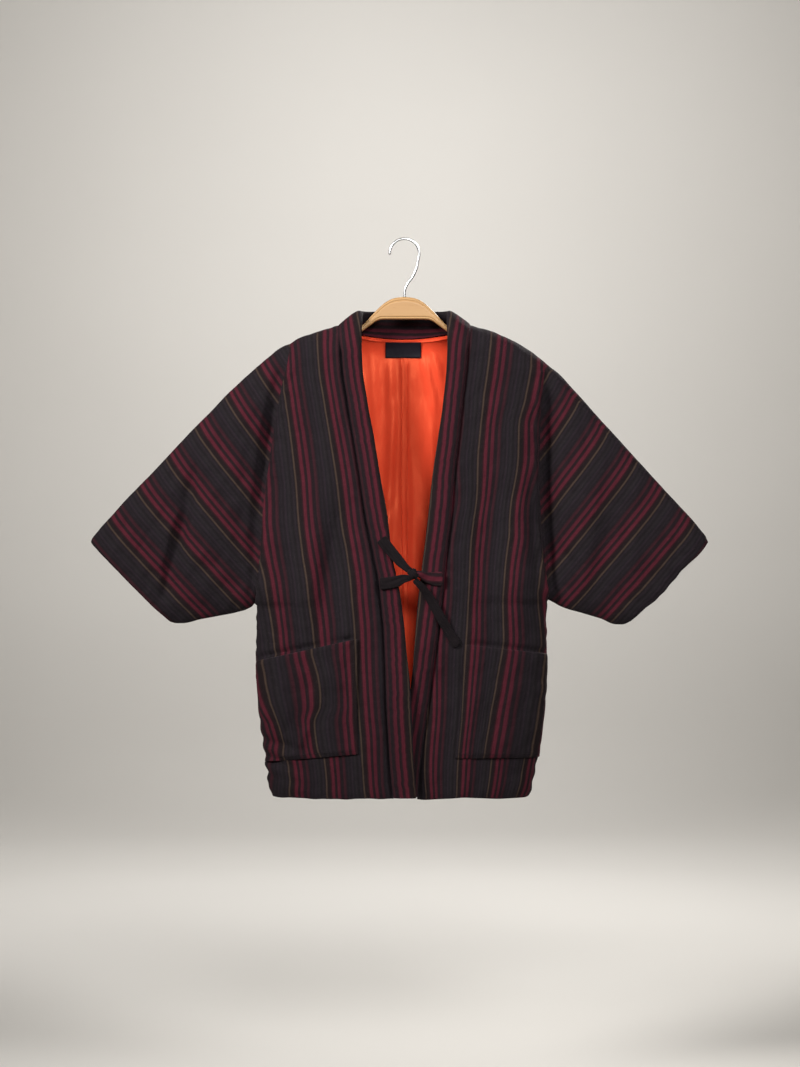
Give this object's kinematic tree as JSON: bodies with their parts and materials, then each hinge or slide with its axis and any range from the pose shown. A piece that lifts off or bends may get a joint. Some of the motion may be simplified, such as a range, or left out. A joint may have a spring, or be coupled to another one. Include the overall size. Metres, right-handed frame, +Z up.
{
  "type": "hanten jacket on hanger",
  "caption": "Padded hanten jacket with striped cloth, satin lining, open collar band, patch pockets and chest ties, hanging on a wooden hanger.",
  "frame": {"origin": "inside top of the hanger's hook, where it bears on a rail", "axes": "+Z up, the jacket's front faces -Y, +X towards the wearer's left"},
  "size_m": [0.99, 0.1451, 0.8911],
  "materials": {
    "striped_cloth": "matt woven cotton, charcoal with red, dim red and tan stripes",
    "lining_satin": "orange-red satin with a soft sheen",
    "label_cloth": "dark woven label, bare",
    "hanger_wood": "light wood, clear satin varnish",
    "hook_steel": "bright steel wire"
  },
  "bodies": {
    "root": {"body_right": "striped_cloth", "body_left": "striped_cloth", "sleeve_right": "striped_cloth", "sleeve_left": "striped_cloth", "collar": "striped_cloth", "pocket_right": "striped_cloth", "pocket_left": "striped_cloth", "lining_right": "lining_satin", "lining_left": "lining_satin", "label": "label_cloth", "tie_right": "striped_cloth", "tie_left": "striped_cloth", "tie_end_upper": "striped_cloth", "tie_end_lower": "striped_cloth", "knot": "striped_cloth", "hanger": "hanger_wood", "hook": "hook_steel"}
  },
  "joints": []
}
